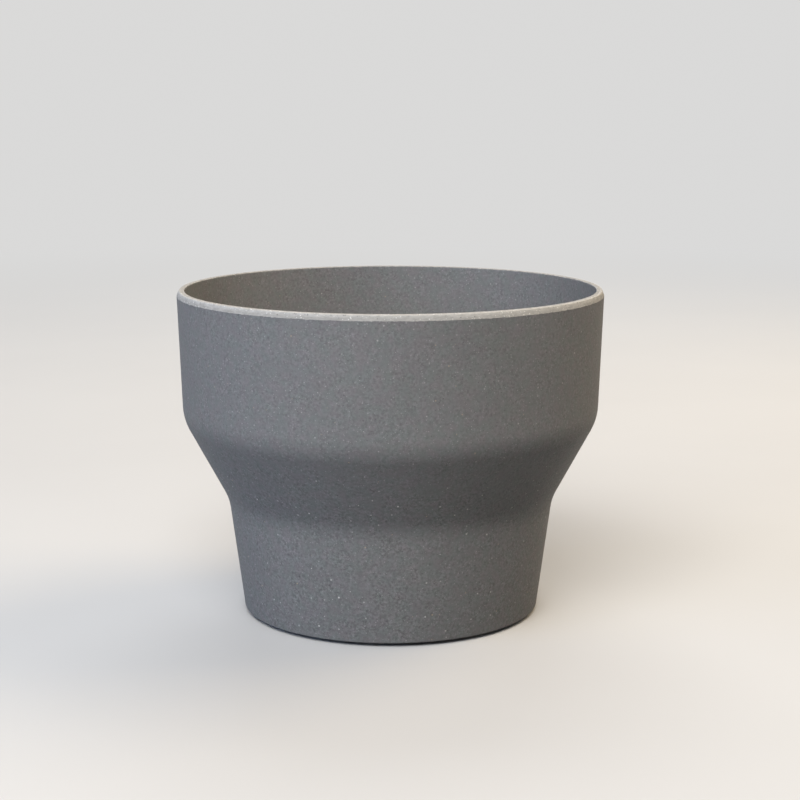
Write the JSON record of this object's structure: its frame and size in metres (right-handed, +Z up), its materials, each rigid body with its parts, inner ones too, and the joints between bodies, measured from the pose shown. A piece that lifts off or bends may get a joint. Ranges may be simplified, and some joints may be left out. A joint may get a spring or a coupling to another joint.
{
  "type": "self watering planter",
  "caption": "Round plant pot with a wide bowl on a narrow water reservoir, holding a lift-out slotted soil tray, felt wicks, a filler shaft and a float gauge.",
  "frame": {"origin": "centre of the footprint, on the plane the foot pads stand on", "axes": "+Z up along the pot's axis of revolution; -Y towards the front, where the filler shaft stands; +X to the right"},
  "size_m": [0.16, 0.16, 0.123],
  "materials": {
    "composite": "matt grey plant-fibre composite with fine pale specks, rim sanded to a lighter grey",
    "insert_plastic": "finely textured moulded plastic",
    "wick_felt": "bonded felt rod",
    "float_foam": "closed-cell foam",
    "stem_plastic": "smooth white rod",
    "flag_plastic": "smooth red moulding",
    "rubber": "matt black rubber",
    "pin_steel": "drawn stainless wire"
  },
  "bodies": {
    "pot": {"outer_pot": "composite", "foot_pad_1": "rubber", "foot_pad_2": "rubber", "foot_pad_3": "rubber", "foot_pad_4": "rubber"},
    "plug": {"drain_plug": "rubber"},
    "insert": {"soil_tray": "insert_plastic"},
    "wick_unit_1": {"wick_sleeve_1": "insert_plastic", "wick_1": "wick_felt"},
    "wick_unit_2": {"wick_sleeve_2": "insert_plastic", "wick_2": "wick_felt"},
    "wick_unit_3": {"wick_sleeve_3": "insert_plastic", "wick_3": "wick_felt"},
    "shaft": {"filler_shaft": "insert_plastic", "shaft_foot": "insert_plastic"},
    "cap": {"shaft_cap": "insert_plastic", "flap_pin": "pin_steel"},
    "flap": {"fill_flap": "insert_plastic"},
    "gauge": {"float": "float_foam", "float_stem": "stem_plastic", "level_flag": "flag_plastic"}
  },
  "joints": [
    {"name": "plug_pull", "type": "slide", "parent": "pot", "child": "plug", "axis": [0, 0, 1], "range_m": [0, 0.02]},
    {"name": "insert_lift", "type": "slide", "parent": "pot", "child": "insert", "axis": [0, 0, 1], "range_m": [0, 0.13]},
    {"name": "wick_1_lift", "type": "slide", "parent": "insert", "child": "wick_unit_1", "axis": [0, 0, 1], "range_m": [0, 0.13]},
    {"name": "wick_2_lift", "type": "slide", "parent": "insert", "child": "wick_unit_2", "axis": [0, 0, 1], "range_m": [0, 0.13]},
    {"name": "wick_3_lift", "type": "slide", "parent": "insert", "child": "wick_unit_3", "axis": [0, 0, 1], "range_m": [0, 0.13]},
    {"name": "shaft_lift", "type": "slide", "parent": "insert", "child": "shaft", "axis": [0, 0, 1], "range_m": [0, 0.13]},
    {"name": "cap_lift", "type": "slide", "parent": "shaft", "child": "cap", "axis": [0, 0, 1], "range_m": [0, 0.125]},
    {"name": "flap_hinge", "type": "hinge", "parent": "cap", "child": "flap", "pos_m": [0.0179, -0.042, 0.1007], "axis": [0, 1, 0], "range_deg": [0, 110]},
    {"name": "float_rise", "type": "slide", "parent": "cap", "child": "gauge", "axis": [0, 0, 1], "range_m": [0, 0.026]}
  ]
}
